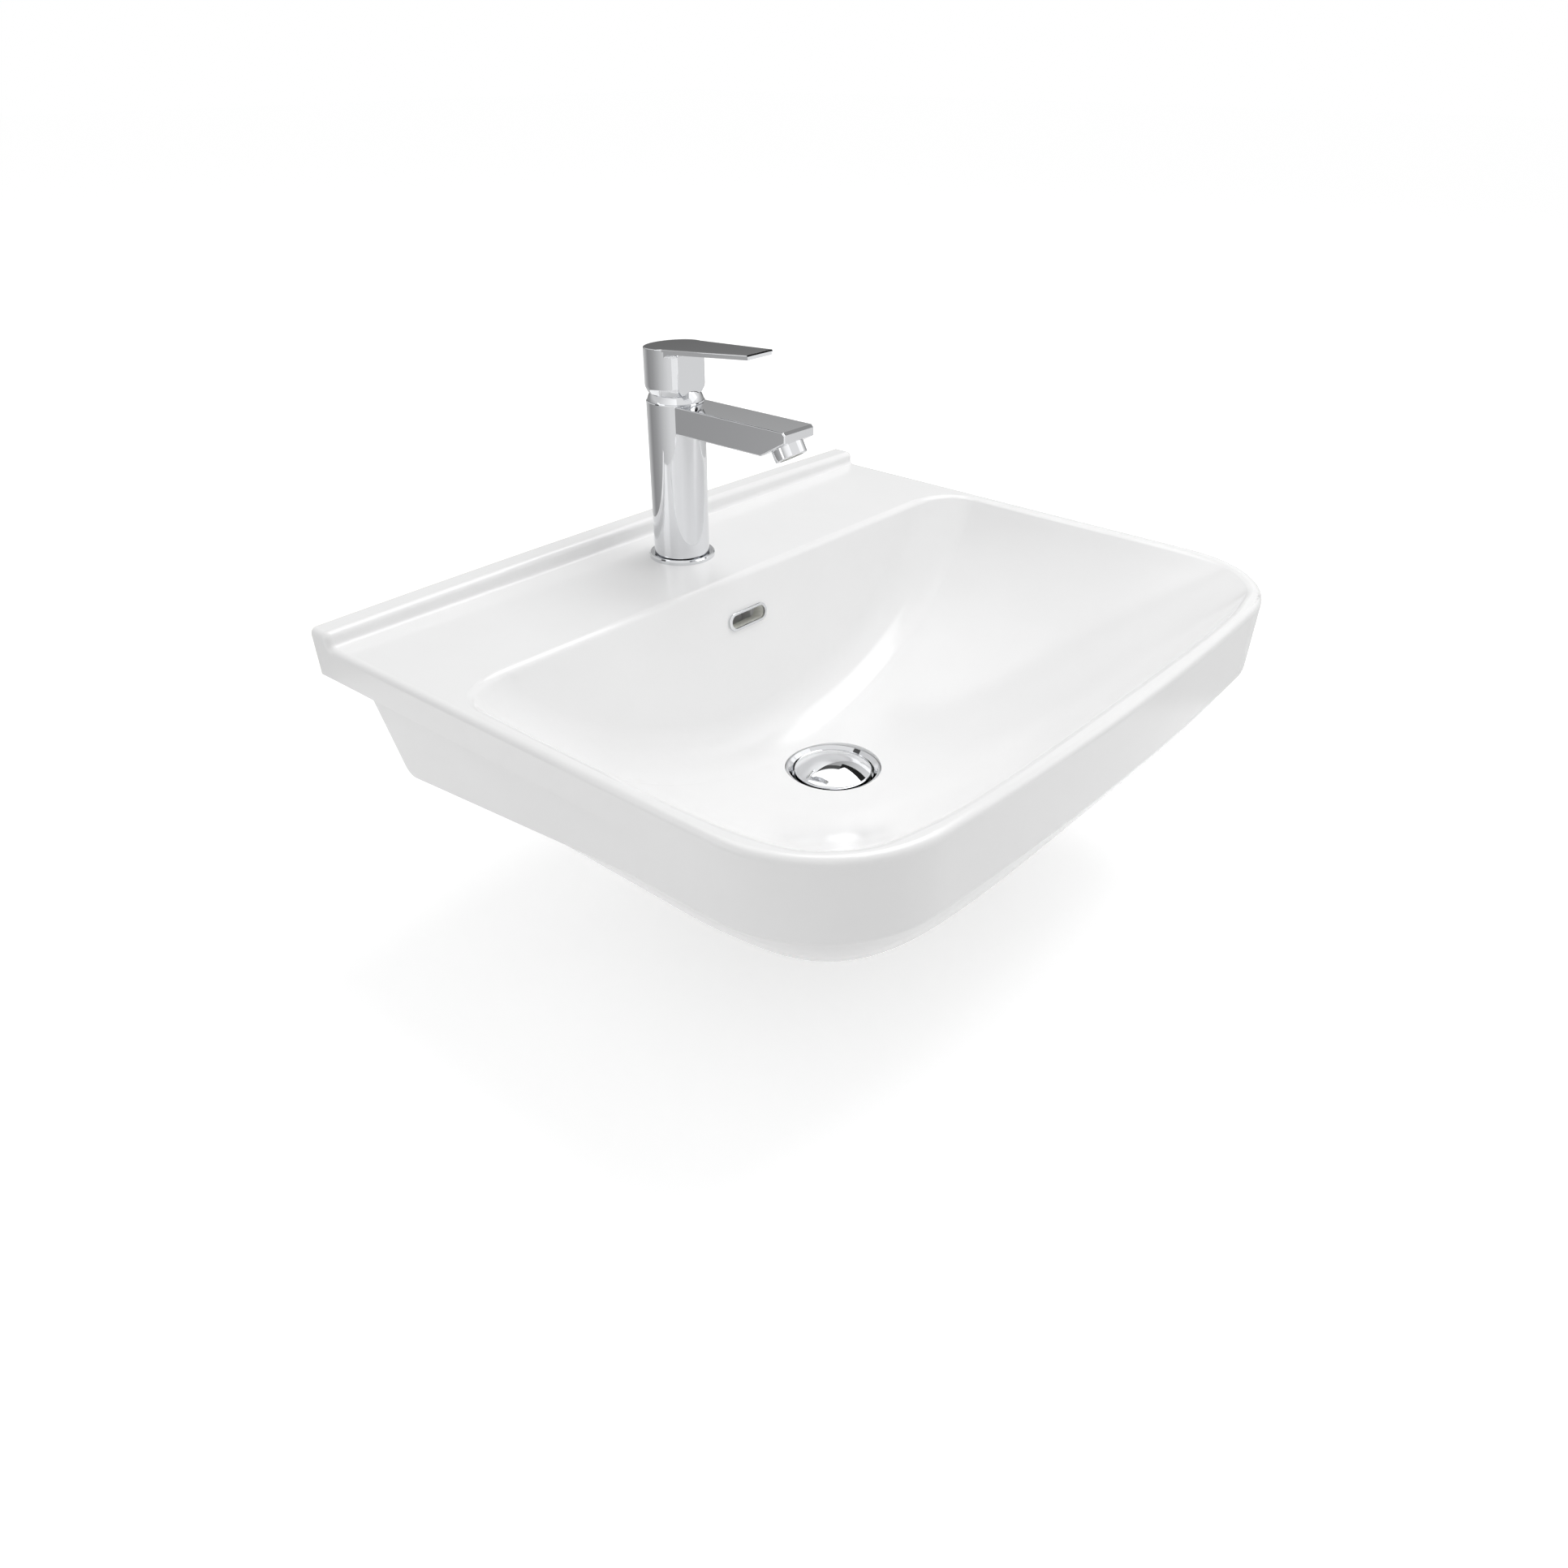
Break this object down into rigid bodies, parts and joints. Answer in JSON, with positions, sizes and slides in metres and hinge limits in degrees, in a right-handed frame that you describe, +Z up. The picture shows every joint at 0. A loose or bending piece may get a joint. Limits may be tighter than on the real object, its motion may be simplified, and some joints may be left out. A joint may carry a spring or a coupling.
{
  "type": "semi-recessed washbasin with single-lever mixer and push waste",
  "caption": "Wide white ceramic semi-recessed washbasin with rear ledge, chrome single-lever mixer, slot overflow and domed push-button waste",
  "frame": {"origin": "middle of the basin's wall face, at the height of the deck's top", "axes": "+X to the right seen from the front, +Y into the wall, +Z up"},
  "size_m": [0.5506, 0.4528, 0.3869],
  "materials": {
    "glaze": "glossy white glaze",
    "chrome": "polished",
    "brass": "turned",
    "steel": "satin",
    "rubber": "matte",
    "white_plastic": "moulded",
    "disc_ceramic": "lapped"
  },
  "bodies": {
    "basin": {"basin_shell": "glaze", "overflow_sleeve": "white_plastic", "overflow_ring": "chrome", "waste_body": "chrome", "waste_upper_seal": "rubber", "waste_lower_seal": "rubber", "waste_slip_washer": "white_plastic", "waste_back_nut": "brass", "popup_housing": "white_plastic", "tap_body": "chrome", "aerator_housing": "chrome", "aerator_seal": "rubber", "aerator_insert": "white_plastic", "tap_base_ring": "chrome", "tap_base_gasket": "rubber", "fixing_stud": "steel", "fixing_rubber_washer": "rubber", "fixing_plate": "steel", "fixing_nut": "brass", "cartridge_seals": "rubber", "cartridge_body": "white_plastic", "cartridge_fixed_disc": "disc_ceramic", "cartridge_lid": "white_plastic", "cartridge_nut": "brass", "cartridge_dome": "chrome"},
    "driver": {"cartridge_driver": "white_plastic", "cartridge_pin": "steel"},
    "lever": {"handle": "chrome", "cartridge_stem": "brass", "handle_grub_screw": "steel", "handle_screw_plug": "chrome"},
    "disc": {"cartridge_moving_disc": "disc_ceramic", "disc_carrier": "white_plastic"},
    "plug": {"plug_cap": "chrome", "plug_carrier": "white_plastic", "plug_seal": "rubber", "popup_stem": "steel", "popup_spring": "steel"}
  },
  "joints": [
    {"name": "handle_turn", "type": "hinge", "parent": "basin", "child": "driver", "pos_m": [0, -0.0685, 0.112], "axis": [0, 0, 1], "range_deg": [-45, 45]},
    {"name": "handle_lift", "type": "hinge", "parent": "driver", "child": "lever", "pos_m": [0, -0.0685, 0.112], "axis": [-1, 0, 0], "range_deg": [0, 16]},
    {"name": "disc_slide", "type": "slide", "parent": "driver", "child": "disc", "axis": [0, -1, 0], "range_m": [0, 0.00392]},
    {"name": "plug_click", "type": "slide", "parent": "basin", "child": "plug", "axis": [0, 0, 1], "range_m": [0, 0.009], "deforming": ["popup_spring"]}
  ],
  "couplings": [
    {"joint": "disc_slide", "follows": "handle_lift", "m_per_rad": 0.014}
  ]
}
